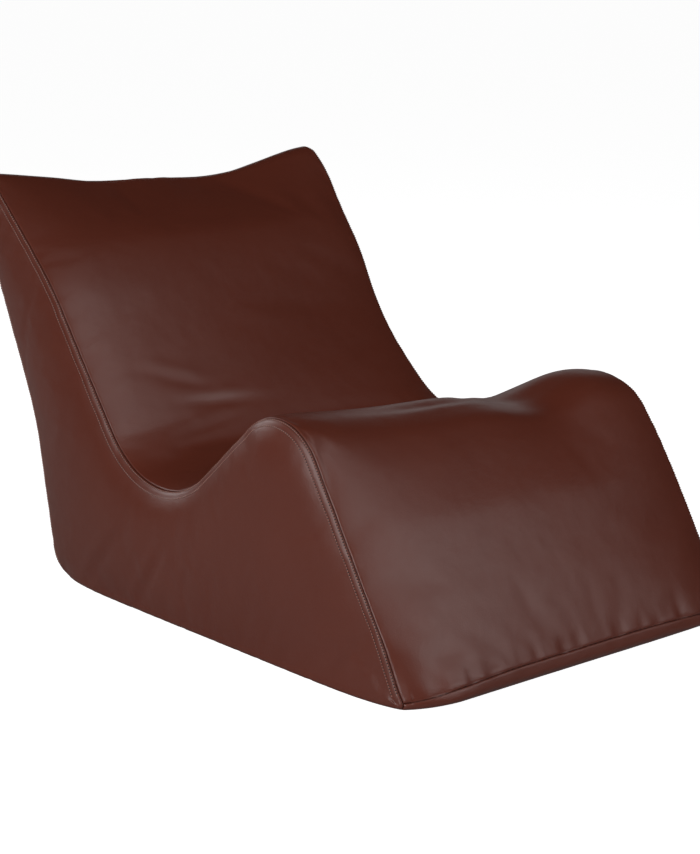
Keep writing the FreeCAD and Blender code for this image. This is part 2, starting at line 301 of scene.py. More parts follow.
def strip_rows():
    """Places of the strip's rows, with a row on each seam and each edge of the zip's slot."""
    zip_s = places["zip"]
    front = places["front_seam"]
    rows, index = [], {}
    index["front_seam"] = 0
    rows += between_seams(front - profile.length, places["rear_seam"])
    index["rear_seam"] = len(rows)
    low = zip_s - SLOT_HALF
    rows += [places["rear_seam"]] + [places["rear_seam"] + r for r in RINGS[:-1]]
    rows += spaced(places["rear_seam"] + RINGS[-1], low - RINGS[1]) + [low - RINGS[1], low - RINGS[0]]
    index["slot_low"] = len(rows)
    rows += [low, zip_s - SLOT_HALF / 2]
    index["zip"] = len(rows)
    rows += [zip_s, zip_s + SLOT_HALF / 2]
    index["slot_high"] = len(rows)
    high = zip_s + SLOT_HALF
    rows += [high, high + RINGS[0]]
    rows += spaced(high + RINGS[1], places["top_seam"] - RINGS[-1])
    rows += [places["top_seam"] - r for r in RINGS[::-1]]
    index["top_seam"] = len(rows)
    rows += between_seams(places["top_seam"], front)
    return np.array(rows), index


def strip_columns():
    """Distances from the middle plane, with columns at the ends of the zip's slot and by the seams."""
    outer = [SEAM_X - ring for ring in RINGS[::-1]]
    half = spaced(0.0, SLOT_REACH) + spaced(SLOT_REACH, outer[0]) + outer + [SEAM_X]
    half = np.array(half[1:])
    return np.concatenate([-half[::-1], [0.0], half])


def seam_reach(s):
    """How far the strip's edge is from the middle plane: the base is wider between its corners."""
    y, z = profile.point(s)
    on_base = smooth_step((FLARE_ENDS - z) / FLARE_ENDS)
    from_middle = (y - BASE_MIDDLE) / BASE_HALF
    return SEAM_X + BASE_FLARE * on_base * np.clip(1 - from_middle**LATE, 0, 1)


def settle(points):
    """Moves the even shape to where the filled bag has settled, and pushes its front foot forward."""
    x, y, z = points[..., 0], points[..., 1], points[..., 2]
    between = np.clip(1 - (np.abs(x) / SEAM_X) ** LATE, 0, 1)
    foot = np.exp(-((z / FOOT_FADES) ** 2)) * smooth_step((FOOT_BEGINS - y) / FOOT_GROWS)
    moved = points.copy()
    moved[..., 1] -= FOOT_PUSH * between * foot
    zip_y, zip_z = profile.point(places["zip"])
    free = 1 - np.exp(-((y - zip_y) ** 2 + (z - zip_z) ** 2) / ZIP_STILL**2)
    for way, centre, reach in SETTLED:
        share = free * np.exp(-(((points - np.array(centre)) / np.array(reach)) ** 2).sum(axis=-1))
        moved += share[..., None] * np.array(way)
    return moved


def strip_points(rows, columns):
    """Positions of the strip's grid before the cloth is swelled."""
    s, x = np.meshgrid(rows, columns, indexing="ij")
    u = x / SEAM_X
    near_front = np.clip(1 - np.abs(s - rows[0]) / SEAM_FADE, 0, 1)
    near_front += np.clip(1 - np.abs(s - rows[0] - profile.length) / SEAM_FADE, 0, 1)
    x = u * seam_reach(s)
    s = s - FRONT_SEAM_RISE * (1 - u**FRONT_SEAM_ARCH) * near_front
    y, z = profile.point(s)
    ny, nz = profile.normal(s)
    out = profile.read(crown, s) * (1 - np.abs(u) ** CROWN_ROUND)
    held = np.clip(np.abs(s - places["zip"]) / ZIP_BAND - 1, 0, 1) * smooth_step(z / CROWN_FULL)
    out = (out + PUFF * (1 - np.abs(u) ** LATE)) * held
    return settle(np.stack([x, y + out * ny, np.maximum(z + out * nz, 0.0)], axis=-1))


def search_tree(points):
    """A search tree of points, where a third coordinate that is left out counts as 0."""
    tree = KDTree(len(points))
    for i, p in enumerate(points):
        tree.insert((*p, 0)[:3], i)
    tree.balance()
    return tree


def side_mesh(rows):
    """The side panel in the profile plane: its rim, then rings set further in, then a lattice.

    Returns the points after the rim, and faces whose vertex numbers below len(rows) are the rim's."""
    y, z = profile.point(rows)
    ny, nz = profile.eased_normal(rows)
    count = len(rows)
    rings = [np.stack([y - d * ny, z - d * nz], axis=-1) for d in RINGS]
    inner = rings[-1]
    tree = search_tree(inner)
    lattice = []
    rise = CELL * math.sqrt(3) / 2
    for k, height in enumerate(np.arange(0.0, cad_high.z, rise)):
        for across in np.arange(cad_low.y + (k % 2) * CELL / 2, cad_high.y, CELL):
            if tree.find((across, height, 0))[2] > CLEAR * CELL:
                lattice.append((across, height))
    flat = [Vector(p) for p in inner] + [Vector(p) for p in lattice]
    found = geometry.delaunay_2d_cdt(flat, [], [list(range(count))], 1, 1e-6)
    first = count * len(RINGS)
    faces = []
    for ring in range(len(RINGS)):
        for i in range(count):
            a, b = ring * count + i, ring * count + (i + 1) % count
            faces.append([a, b, b + count, a + count])
    number = {new: first + old[0] for new, old in enumerate(found[3]) if old}
    faces += [[number[v] for v in face] for face in found[2]]
    points = np.concatenate(rings + [np.array(lattice)])
    used = np.zeros(count + len(points), bool)
    used[: count + first] = True
    used[[v for face in faces for v in face]] = True
    renumber = np.cumsum(used) - 1
    return points[used[count:]], [[int(renumber[v]) for v in face] for face in faces]


def side_reach(inside, rim):
    """How far the side panel stands from the middle plane, swelling out from its seam."""
    tree = search_tree(rim[:, :2])
    seam = [tree.find((p[0], p[1], 0)) for p in inside]
    distance = np.array([found[2] for found in seam])
    start = np.array([rim[found[1]][2] for found in seam])
    full = np.maximum(dome_x(inside[:, 0], inside[:, 1]), SEAM_X + SIDE_STANDS) + SIDE_SWELLS
    return start + (full - start) * (1 - np.exp(-distance / SIDE_EDGE))


class Shell:
    """The whole cover as one mesh, with the panel that each face belongs to."""

    def __init__(self):
        self.rows, self.row_of = strip_rows()
        self.columns = strip_columns()
        grid = strip_points(self.rows, self.columns)
        self.m, self.n = len(self.rows), len(self.columns)
        inside, side_faces = side_mesh(self.rows)
        rim = np.column_stack([*profile.point(self.rows), seam_reach(self.rows)])
        x = side_reach(inside, rim)
        right = settle(np.column_stack([-x, inside]))
        left = settle(np.column_stack([x, inside]))
        self.points = np.concatenate([grid.reshape(-1, 3), right, left])
        self.first_ring = {"side_right": self.m * self.n, "side_left": self.m * self.n + len(inside)}
        self.rim_column = {"side_right": 0, "side_left": self.n - 1}
        self.faces, self.panel, self.in_slot = [], [], []
        for i in range(self.m):
            for j in range(self.n - 1):
                a, b = i * self.n + j, ((i + 1) % self.m) * self.n + j
                self.faces.append([a, b, b + 1, a + 1])
                self.panel.append(self.panel_of_row(i))
                middle = abs(self.columns[j] + self.columns[j + 1]) / 2
                slot_row = self.row_of["slot_low"] <= i < self.row_of["slot_high"]
                self.in_slot.append(slot_row and middle < SLOT_REACH)
        for name in ("side_right", "side_left"):
            first, column = self.first_ring[name], self.rim_column[name]
            for face in side_faces:
                ids = [v * self.n + column if v < self.m else first + v - self.m for v in face]
                self.faces.append(ids[::-1] if name == "side_right" else ids)
                self.panel.append(name)
                self.in_slot.append(False)
        self.panel = np.array(self.panel)
        self.in_slot = np.array(self.in_slot)

    def panel_of_row(self, i):
        if i < self.row_of["rear_seam"]:
            return "base"
        if i < self.row_of["zip"]:
            return "back_lower"
        if i < self.row_of["top_seam"]:
            return "back_upper"
        return "seat"

    def grid_ids(self):
        return np.arange(self.m * self.n).reshape(self.m, self.n)

    def ring_ids(self, name, ring):
        """Vertex numbers round a side panel's ring, in the order of the rows."""
        return self.first_ring[name] + ring * self.m + np.arange(self.m)

    def line(self, row, reach):
        """Points along one of the strip's rows, out to reach on both sides."""
        return self.points[self.grid_ids()[row, np.abs(self.columns) < reach]]

    def held(self):
        """The points that stay where they are while the cloth swells: seams, floor and zip."""
        held = np.zeros(len(self.points), bool)
        ids = self.grid_ids()
        held[ids[:, [0, -1]]] = True
        for name in ("front_seam", "rear_seam", "top_seam"):
            held[ids[self.row_of[name]]] = True
        held[ids[np.abs(self.rows - places["zip"]) < ZIP_BAND]] = True
        held[self.points[:, 2] < ON_FLOOR] = True
        return held


def in_scene(name, data):
    """A new object in the scene, made of the data."""
    obj = bpy.data.objects.new(name, data)
    bpy.context.scene.collection.objects.link(obj)
    return obj


def new_object(name, points, faces):
    mesh = bpy.data.meshes.new(name)
    mesh.from_pydata([tuple(p) for p in points], [], faces)
    mesh.validate()
    return in_scene(name, mesh)


def read_points(mesh, what="co"):
    """The places of the mesh's points, or with "normal" their normals."""
    flat = np.empty(len(mesh.vertices) * 3, np.float32)
    mesh.vertices.foreach_get(what, flat)
    return flat.reshape(-1, 3).astype(float)


def store(mesh, name, values):
    """Stores a number on each of the mesh's points."""
    attribute = mesh.attributes.new(name, "FLOAT", "POINT")
    attribute.data.foreach_set("value", np.asarray(values, np.float32))


# ---- cloth --------------------------------------------------------------------------------------
CLOTH = {
    "quality": 6,
    "mass": 0.3,
    "tension_stiffness": 40,
    "compression_stiffness": 40,
    "shear_stiffness": 20,
    "bending_stiffness": 4.0,
    "air_damping": 5,
    "use_pressure": True,
    "uniform_pressure_force": 3.0,
    "shrink_min": -0.009,  # a negative shrink factor grows the cloth
    "vertex_group_mass": "held",
}
FRAMES = 22
SWELL_KEPT = 0.25  # share of the broad swelling that is kept
FOLDS_KEPT = 0.3  # and of the folds
BROAD = 60  # passes of smoothing that part the broad swelling from the folds


def swell(points, faces, held):
    """Swells the shell as cloth held at its seams, and returns how its points move."""
    work = new_object("cloth_work", points, faces)
    group = work.vertex_groups.new(name=CLOTH["vertex_group_mass"])
    group.add([int(i) for i in np.flatnonzero(held)], 1.0, "REPLACE")
    cloth = work.modifiers.new("cloth", "CLOTH")
    for name, value in CLOTH.items():
        setattr(cloth.settings, name, value)
    cloth.settings.effector_weights.gravity = 0
    cloth.collision_settings.use_self_collision = False
    cloth.collision_settings.use_collision = False
    cloth.point_cache.frame_start = 1
    cloth.point_cache.frame_end = FRAMES
    scene = bpy.context.scene
    for number in range(1, FRAMES + 1):
        scene.frame_set(number)
    ended = read_points(work.evaluated_get(bpy.context.evaluated_depsgraph_get()).data)
    scene.frame_set(1)
    bpy.data.objects.remove(work)
    return ended - points


def edges_of(faces):
    pairs = {(min(a, b), max(a, b)) for face in faces for a, b in zip(face, face[1:] + face[:1])}
    return np.array(sorted(pairs))


def smoothed(values, edges, held, passes):
    """Values averaged again and again with their neighbours', with held points left at 0."""
    count = np.bincount(edges.ravel(), minlength=len(values))[:, None]
    for _ in range(passes):
        total = np.zeros_like(values)
        np.add.at(total, edges[:, 0], values[edges[:, 1]])
        np.add.at(total, edges[:, 1], values[edges[:, 0]])
        values = 0.5 * values + 0.5 * total / np.maximum(count, 1)
        values[held] = 0
    return values


shell = Shell()
held = shell.held()
move = swell(shell.points, shell.faces, held)
broad = smoothed(move, edges_of(shell.faces), held, BROAD)
shell.points = shell.points + SWELL_KEPT * broad + FOLDS_KEPT * (move - broad)
shell.points[:, 2] = np.maximum(shell.points[:, 2], 0.0)


# ---- materials ----------------------------------------------------------------------------------
class Finish:
    """A node material: a Principled shader, and the patterns that drive it, all in metres."""

    def __init__(self, name, roughness, metallic=0.0, specular=0.5):
        self.material = bpy.data.materials.new(name)
        self.material.use_nodes = True
        self.tree = self.material.node_tree
        self.shader = self.tree.nodes["Principled BSDF"]
        self.shader.inputs["Roughness"].default_value = roughness
        self.shader.inputs["Metallic"].default_value = metallic
        self.shader.inputs["Specular IOR Level"].default_value = specular
        self.place = self.tree.nodes.new("ShaderNodeTexCoord").outputs["Object"]
        self.normal = None

    def add(self, kind, **inputs):
        """A node with its inputs set to values, or joined to other nodes' outputs."""
        node = self.tree.nodes.new("ShaderNode" + kind)
        for name, value in inputs.items():
            socket = node.inputs[name]
            if isinstance(value, bpy.types.NodeSocket):
                self.tree.links.new(value, socket)
            else:
                socket.default_value = value
        return node

    def stretched(self, scale):
        return self.add("Mapping", Vector=self.place, Scale=scale).outputs["Vector"]

    def noise(self, scale, detail=2.0, stretch=(1, 1, 1)):
        node = self.add("TexNoise", Vector=self.stretched(stretch), Scale=scale, Detail=detail)
        return node.outputs["Fac"]

    def cells(self, scale, randomness=1.0):
        node = self.add("TexVoronoi", Vector=self.place, Scale=scale, Randomness=randomness)
        return node.outputs["Distance"]

    def waves(self, direction, period):
        """Ridges across an axis, with the given distance between them."""
        node = self.add("TexWave", Vector=self.place, Scale=math.pi / 10 / period)
        node.bands_direction = direction
        return node.outputs["Fac"]

    def attribute(self, name):
        """A number stored on the mesh's points."""
        node = self.add("Attribute")
        node.attribute_name = name
        return node.outputs["Fac"]

    def ranged(self, value, low, high, start=0.0, end=1.0):
        """The value, which runs from start to end, turned to run from low to high."""
        sockets = {"Value": value, "From Min": start, "From Max": end, "To Min": low, "To Max": high}
        return self.add("MapRange", **sockets).outputs["Result"]

    def product(self, a, b):
        node = self.add("Math")
        node.operation = "MULTIPLY"
        self.tree.links.new(a, node.inputs[0])
        self.tree.links.new(b, node.inputs[1])
        return node.outputs["Value"]

    def colour(self, factor, first, second, painted_shade=None):
        """Sets the colour to a mix of two, times a painted shade where one is given."""
        mix = self.add("MixRGB", Fac=factor, Color1=(*first, 1), Color2=(*second, 1))
        if painted_shade is not None:
            mix = self.add("MixRGB", Fac=1.0, Color1=mix.outputs["Color"], Color2=painted_shade)
            mix.blend_type = "MULTIPLY"
        self.tree.links.new(mix.outputs["Color"], self.shader.inputs["Base Color"])

    def roughness(self, value):
        self.tree.links.new(value, self.shader.inputs["Roughness"])

    def bump(self, height, depth, strength=1.0):
        """Adds relief of the given depth over what is there already."""
        node = self.add("Bump", Height=height, Distance=depth, Strength=strength)
        if self.normal is not None:
            self.tree.links.new(self.normal, node.inputs["Normal"])
        self.normal = node.outputs["Normal"]
        self.tree.links.new(self.normal, self.shader.inputs["Normal"])


def leather_finish():
    """Smooth faux leather: a fine pebble, faint clouding, and painted shade that darkens the leather in the
    grooves along the seams.
    """
    finish = Finish("leatherette", 0.45)
    clouds = finish.noise(7.0, 4.0)
    # painted shade: the colour is darkened to 0.35 within about 1.6 mm of a seam, where its groove lies in
    # shade
    painted_shade = finish.ranged(finish.attribute("seam_distance"), 0.35, 1.0, 0.0003, 0.0016)
    finish.colour(clouds, (0.108, 0.0210, 0.0105), (0.126, 0.0255, 0.0130), painted_shade)
    finish.roughness(finish.ranged(finish.noise(60.0, 3.0), 0.36, 0.44))
    finish.bump(finish.cells(850.0), 0.00025, 0.30)
    finish.bump(finish.noise(260.0, 3.0), 0.00040, 0.25)
    finish.bump(finish.noise(22.0, 2.0), 0.0030, 0.18)
    finish.bump(finish.noise(9.0, 2.0), 0.0100, 0.16)
    return finish.material


def thread_finish():
    """Twisted polyester sewing thread, lighter than the leather, with near-black painted shade on the pieces
    set in its needle holes.
    """
    finish = Finish("sewing_thread", 0.55, specular=0.3)
    # painted shade: the needle-hole pieces are coloured near black, where there is only shade
    painted_shade = finish.ranged(finish.attribute("painted_needle_shade"), 1.0, 0.06)
    finish.colour(finish.noise(900.0), (0.300, 0.135, 0.105), (0.400, 0.190, 0.150), painted_shade)
    finish.bump(finish.noise(2600.0, 1.0, (1, 3, 1)), 0.0002, 0.6)
    finish.shader.inputs["Sheen Weight"].default_value = 0.2
    return finish.material


def tape_finish(name, dark, light):
    """Herringbone zip tape: two fine sets of ribs that cross."""
    finish = Finish(name, 0.8, specular=0.2)
    weave = finish.product(finish.waves("X", 0.0011), finish.waves("Z", 0.0009))
    finish.colour(weave, dark, light)
    finish.bump(weave, 0.0003, 0.8)
    finish.bump(finish.noise(1800.0), 0.0001, 0.5)
    finish.shader.inputs["Sheen Weight"].default_value = 0.15
    return finish.material


def chain_finish(name, dark, light):
    """Moulded plastic teeth, with a little wear on their tops."""
    finish = Finish(name, 0.38)
    finish.colour(finish.noise(420.0, 3.0), dark, light)
    finish.roughness(finish.ranged(finish.noise(700.0), 0.28, 0.50))
    finish.bump(finish.noise(2400.0), 0.00006, 0.5)
    return finish.material


def metal_finish():
    """Dark plated metal, brushed along the zip."""
    finish = Finish("dark_zip_metal", 0.34, metallic=0.9)
    brushed = finish.noise(900.0, 2.0, (0.08, 1, 1))
    finish.colour(finish.noise(180.0, 3.0), (0.105, 0.082, 0.068), (0.170, 0.135, 0.112))
    finish.roughness(finish.ranged(brushed, 0.26, 0.46))
    finish.bump(brushed, 0.00005, 0.5)
    return finish.material


def rubber_finish():
    """The puller's soft moulded grip."""
    finish = Finish("puller_rubber", 0.62, specular=0.35)
    finish.colour(finish.noise(300.0), (0.022, 0.0115, 0.0090), (0.032, 0.0165, 0.0130))
    finish.bump(finish.cells(1500.0), 0.00010, 0.5)
    finish.roughness(finish.ranged(finish.noise(500.0), 0.52, 0.72))
    return finish.material


def liner_finish():
    """Thin plain-woven polyester, creased by the beads behind it."""
    finish = Finish("liner_cloth", 0.75, specular=0.25)
    weave = finish.product(finish.waves("X", 0.0008), finish.waves("Z", 0.0008))
    finish.colour(finish.noise(14.0, 3.0), (0.60, 0.575, 0.52), (0.70, 0.68, 0.63))
    finish.bump(weave, 0.0002, 0.5)
    finish.bump(finish.cells(210.0), 0.0012, 0.5)
    finish.bump(finish.noise(30.0, 3.0), 0.0040, 0.4)
    return finish.material


def bead_finish():
    """White expanded beads, packed against each other, with painted shade darkening the gaps between them."""
    finish = Finish("foam_beads", 0.6, specular=0.3)
    cells = finish.cells(230.0, 0.85)
    # painted shade: the colour greys towards the cell edges, in the gaps between the beads
    finish.colour(finish.ranged(cells, 0.0, 1.0, 0.25, 0.75), (0.86, 0.86, 0.83), (0.42, 0.42, 0.40))
    finish.bump(finish.ranged(cells, 1.0, 0.0, 0.0, 0.8), 0.0020, 0.9)
    return finish.material


leather = leather_finish()
thread = thread_finish()
liner_cloth = liner_finish()
beads = bead_finish()
dark_tape = tape_finish("zip_tape", (0.010, 0.0050, 0.0038), (0.026, 0.0130, 0.0100))
dark_chain = chain_finish("zip_chain", (0.020, 0.0095, 0.0078), (0.034, 0.0165, 0.0135))
metal = metal_finish()
pale_tape = tape_finish("liner_zip_tape", (0.42, 0.40, 0.36), (0.56, 0.54, 0.49))
pale_chain = chain_finish("liner_zip_chain", (0.46, 0.44, 0.40), (0.54, 0.52, 0.47))
carried_over = {"zip_puller": rubber_finish()}
for bag, tape, chain in (("", dark_tape, dark_chain), ("liner_", pale_tape, pale_chain)):
    for half in ("upper", "lower"):
        carried_over[f"{bag}zip_tape_{half}"] = tape
        carried_over[f"{bag}zip_teeth_{half}"] = chain
    for part in ("end_stops", "slider"):
        carried_over[f"{bag}zip_{part}"] = metal
for node, material in carried_over.items():
    node_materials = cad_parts[node].data.materials
    for i in range(len(node_materials)):
        node_materials[i] = material


# ---- the sewn cover -----------------------------------------------------------------------------
GROOVE_DEPTH = 0.0022  # every seam is drawn in this far
GROOVE_WIDTH = 0.0018
SHALLOW_GROOVE = 0.0010  # but the front one less
DEEPEST = 0.0042  # nothing is drawn in further, because the liner lies behind
BAND_WIDTH = 0.0140  # the felled band beside each side seam
BAND_EDGE = 0.0018
BAND_RISE = 0.0005
STITCH_DIMPLE = 0.0004
DIMPLE_WIDTH = 0.0012
# Pleats that run away from a seam: distance between them, their length, their depth.
SEAM_PLEATS = (0.016, 0.010, 0.0010)
FRONT_PLEATS = (0.030, 0.026, 0.0075)
PLEATS_REACH = 0.07  # and none further from their seam than this
PLEATS_MORE = 0.05  # added to the noise that parts the pleats, so that they are a little wider
SEAM_STEP = 0.0008  # between the points along a seam that distances are measured from
RIDGE, RIDGE_AWAY = 0.5, 1.7  # height and place of the ridge beside a crease, as shares of the valley's
FRONT_CORNER = 0.012  # the front seam ends this far from the side seams
NO_PLEATS = 0.024  # pleats stay this far above and below the zip
FRONT_Y = -0.50  # seams forward of this and lower than FRONT_TOP are the front seam
FRONT_TOP = 0.045
SIDES = ("side_right", "side_left")
PANELS = {
    "seat": ("seat_leather", "seat_panel"),
    "side_right": ("side_leather_right", "side_panel_right"),
    "side_left": ("side_leather_left", "side_panel_left"),
    "back_upper": ("back_leather_upper", "back_panel_upper"),
    "back_lower": ("back_leather_lower", "back_panel_lower"),
    "base": ("base_leather", "base_panel"),
}


def modified(points, faces, *modifiers, labels=None):
    """The mesh that the modifiers make of the points and faces. Labels are numbers on its faces."""
    work = new_object("modifier_work", points, faces)
    if labels is not None:
        attribute = work.data.attributes.new("label", "INT", "FACE")
        attribute.data.foreach_set("value", np.asarray(labels, np.int32))
    for kind, settings in modifiers:
        modifier = work.modifiers.new(kind.lower(), kind)
        for name, value in settings.items():
            setattr(modifier, name, value)
    mesh = bpy.data.meshes.new_from_object(work.evaluated_get(bpy.context.evaluated_depsgraph_get()))
    bpy.data.objects.remove(work)
    return mesh


def faces_of(mesh):
    return [list(polygon.vertices) for polygon in mesh.polygons]


def part_of(points, faces):
    """The points that the faces use, the faces renumbered to them, and which points they are."""
    used = np.array(sorted({v for face in faces for v in face}))
    number = np.full(len(points), -1)
    number[used] = np.arange(len(used))
    return points[used], [[int(number[v]) for v in face] for face in faces], used


def seam_edges(faces, labels):
    """The edges between faces with different labels, and the open ones."""
    seen = {}
    for face, label in zip(faces, labels):
        for a, b in zip(face, face[1:] + face[:1]):
            seen.setdefault((min(a, b), max(a, b)), []).append(label)
    return [edge for edge, found in seen.items() if len(found) == 1 or len(set(found)) > 1]


def nearest_seam(points, edges):
    """Each point's distance from the nearest seam, and the nearest point of that seam."""
    dense = []
    for a, b in edges:
        steps = max(2, int(np.linalg.norm(points[b] - points[a]) / SEAM_STEP))
        dense += [points[a] + (points[b] - points[a]) * k / steps for k in range(steps)]
    tree = search_tree(dense)
    found = [tree.find(p) for p in points]
    return np.array([f[2] for f in found]), np.array([f[0] for f in found])


def pleats(distance, seam_points, chosen, shape):
    """How far the leather is drawn in by small pleats that run away from a seam."""
    pitch, length, depth = shape
    drawn = np.zeros(len(distance))
    for i in np.flatnonzero(chosen & (distance < PLEATS_REACH)):
        strength = max(noise.noise(Vector(seam_points[i]) / pitch) + PLEATS_MORE, 0.0)
        drawn[i] = depth * strength * math.exp(-((distance[i] / length) ** 2))
    return drawn


def creases(points):
    """How far the leather is drawn in by creases: each is a valley with a lower ridge beside it."""
    drawn = np.zeros(len(points))
    for centre, across, width, length, depth in CREASES:
        offset = points - np.array(centre)
        side = offset @ unit(np.array(across, float))
        rest = np.sqrt(np.maximum((offset**2).sum(axis=1) - side**2, 0))
        valley = np.exp(-((side / width) ** 2)) - RIDGE * np.exp(-((side / width - RIDGE_AWAY) ** 2))
        drawn += depth * valley * np.exp(-((rest / length) ** 2))
    return drawn


class Cover:
    """The whole cover one subdivision finer, with its seams, felled bands, pleats and creases."""

    def __init__(self):
        kept = np.flatnonzero(~shell.in_slot)
        labels = [list(PANELS).index(shell.panel[i]) for i in kept]
        faces = [shell.faces[i] for i in kept]
        mesh = modified(shell.points, faces, ("SUBSURF", {"levels": 1}), labels=labels)
        self.points, normals = read_points(mesh), read_points(mesh, "normal")
        self.faces = faces_of(mesh)
        self.labels = np.empty(len(self.faces), np.int32)
        mesh.attributes["label"].data.foreach_get("value", self.labels)
        seams = seam_edges(self.faces, self.labels)
        zip_height = profile.point(places["zip"])[1]
        self.distance, near = nearest_seam(self.points, seams)
        in_front = (near[:, 1] < FRONT_Y) & (near[:, 2] < FRONT_TOP)
        in_front &= np.abs(near[:, 0]) < SEAM_X - FRONT_CORNER
        shape = np.exp(-((self.distance / GROOVE_WIDTH) ** 2))
        lift = -np.where(in_front, SHALLOW_GROOVE, GROOVE_DEPTH) * shape
        lift -= creases(self.points) * (1 - shape)
        lift += self.bands() * (1 - shape)
        by_zip = np.abs(self.points[:, 2] - zip_height) < NO_PLEATS
        by_zip &= self.points[:, 1] > 0
        lift -= pleats(self.distance, near, ~in_front & ~by_zip, SEAM_PLEATS) * (1 - shape)
        lift -= pleats(self.distance, near, in_front & (self.points[:, 2] > near[:, 2]), FRONT_PLEATS)
        self.points += np.maximum(lift, -DEEPEST)[:, None] * normals
        self.points[:, 2] = np.maximum(self.points[:, 2], 0.0)

    def bands(self):
        """The felled bands beside the side seams, dimpled along their stitches."""
        on_side = np.zeros(len(self.points), bool)
        for name in SIDES:
            label = list(PANELS).index(name)
            on_side[[v for face, own in zip(self.faces, self.labels) if own == label for v in face]] = True
        band = BAND_RISE * smooth_step((BAND_WIDTH - self.distance) / BAND_EDGE)
        for ring in STITCH_RINGS:
            band -= STITCH_DIMPLE * np.exp(-(((self.distance - RINGS[ring]) / DIMPLE_WIDTH) ** 2))
        return np.where(on_side, band, 0.0)

    def panel(self, panel):
        """One panel as its own piece of leather with two faces and edges."""
        label = list(PANELS).index(panel)
        chosen = [face for face, own in zip(self.faces, self.labels) if own == label]
        points, faces, used = part_of(self.points, chosen)
        name, node = PANELS[panel]
        mesh = modified(points, faces, ("SOLIDIFY", {"thickness": LEATHER, "offset": -1.0}))
        store(mesh, "seam_distance", np.resize(self.distance[used], len(mesh.vertices)))
        piece = finished(name, mesh, leather)
        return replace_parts(piece, node)


def finished(name, mesh, material):
    """A piece of the bag with its material, attached to the bag's body."""
    mesh.name = name
    for attribute in [a for a in mesh.attributes if a.name == "label"]:
        mesh.attributes.remove(attribute)
    mesh.polygons.foreach_set("use_smooth", [True] * len(mesh.polygons))
    mesh.materials.clear()
    mesh.materials.append(material)
    mesh.update()
    piece = in_scene(name, mesh)
    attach(piece, "bag")
    return piece


cover = Cover()
leathers = {panel: cover.panel(panel) for panel in PANELS}

# ---- liner and beads ----------------------------------------------------------------------------
LINER_IN = 0.0068  # the liner's depth behind the cover
LINER_IN_AT_ZIP = 0.0071
LINER_CLOTH = 0.0007
BEADS_IN = 0.0086
BEADS_IN_AT_ZIP = 0.0122
ZIP_HOLLOW = 0.0240  # half the height of the hollow that makes room for the zips
HOLLOW_EDGE = 0.010
NORMAL_PASSES = 10  # of smoothing, so that the inner layers round the cover's edges off
BEAD_LUMP = 0.0008
BEAD_LUMPS = 200  # of them in a metre, about
STEEPEST = 0.7  # least cosine between a normal and its smoothed one


def inner_points(depth, depth_at_zip):
    """The shell's points moved inwards by depth, or more beside the zips."""
    work = new_object("normal_work", shell.points, shell.faces)
    normals = read_points(work.data, "normal")
    bpy.data.objects.remove(work)
    eased = smoothed(normals, edges_of(shell.faces), np.zeros(len(normals), bool), NORMAL_PASSES)
    eased /= np.linalg.norm(eased, axis=1)[:, None]
    depths = np.full(len(normals), depth)
    beyond = np.abs(shell.rows - places["zip"]) - ZIP_HOLLOW
    by_row = depth_at_zip + (depth - depth_at_zip) * smooth_step(beyond / HOLLOW_EDGE)
    depths[shell.grid_ids()] = by_row[:, None]
    depths /= np.maximum((normals * eased).sum(axis=1), STEEPEST)
    return shell.points - depths[:, None] * eased


def liner_pieces():
    """The inner bag: one wrap round the profile, with a slot for its zip, and two sides."""
    points = inner_points(LINER_IN, LINER_IN_AT_ZIP)
    is_side = np.isin(shell.panel, SIDES)
    chosen = {
        "wrap": ~is_side & ~shell.in_slot,
        "side_right": shell.panel == "side_right",
        "side_left": shell.panel == "side_left",
    }
    for name, wanted in chosen.items():
        some, faces, _ = part_of(points, [shell.faces[i] for i in np.flatnonzero(wanted)])
        mesh = modified(some, faces, ("SOLIDIFY", {"thickness": LINER_CLOTH, "offset": -1.0}))
        piece = finished("liner_cloth_" + name, mesh, liner_cloth)
        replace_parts(piece, "liner_" + name)


def bead_piece():
    """The beads that fill the liner, as one lumpy body."""
    points = inner_points(BEADS_IN, BEADS_IN_AT_ZIP)
    lumps = np.array([noise.noise(Vector(p) * BEAD_LUMPS) for p in points])
    away = shell.points - points
    away /= np.linalg.norm(away, axis=1)[:, None]
    mesh = modified(points + BEAD_LUMP * (lumps[:, None] - 0.5) * away, shell.faces)
    piece = finished("foam_beads", mesh, beads)
    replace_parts(piece, "bead_fill")


liner_pieces()
bead_piece()

# ---- topstitching -------------------------------------------------------------------------------
STITCH_PITCH = 0.0045
STITCH_LENGTH = 0.0028
THREAD_RADIUS = 0.00080
# the needle holes are near-black pieces of painted shade, set where there is only shade
HOLE_RADIUS = 0.00130  # of the needle hole between two stitches
HOLE_RISE = 0.00020
THREAD_SIDES = 6
# Along one stitch: share of its half length, share of the radius, height over the leather.
STITCH_SHAPE = [(-0.8, 0.8, -0.00010), (-0.35, 1.0, 0.00040), (0.35, 1.0, 0.00040), (0.8, 0.8, -0.00010)]
STITCH_END = -0.00060
STITCH_LOWEST = 0.020
ZIP_STITCH_PAST = 0.015  # the thread round the slot runs this far past its ends


def even_points(line, pitch):
    """Points about pitch apart along a closed line."""
    ring = np.concatenate([line, line[:1]])
    along = np.concatenate([[0], np.cumsum(np.linalg.norm(np.diff(ring, axis=0), axis=1))])
    at = np.linspace(0, along[-1], int(along[-1] / pitch), endpoint=False)
    return np.stack([np.interp(at, along, ring[:, k]) for k in range(3)], axis=-1)


def row_directions(normal, forward):
    """The ways along a row and across it, both square to the normal."""
    along = (forward - normal * forward.dot(normal)).normalized()
    return along, normal.cross(along)


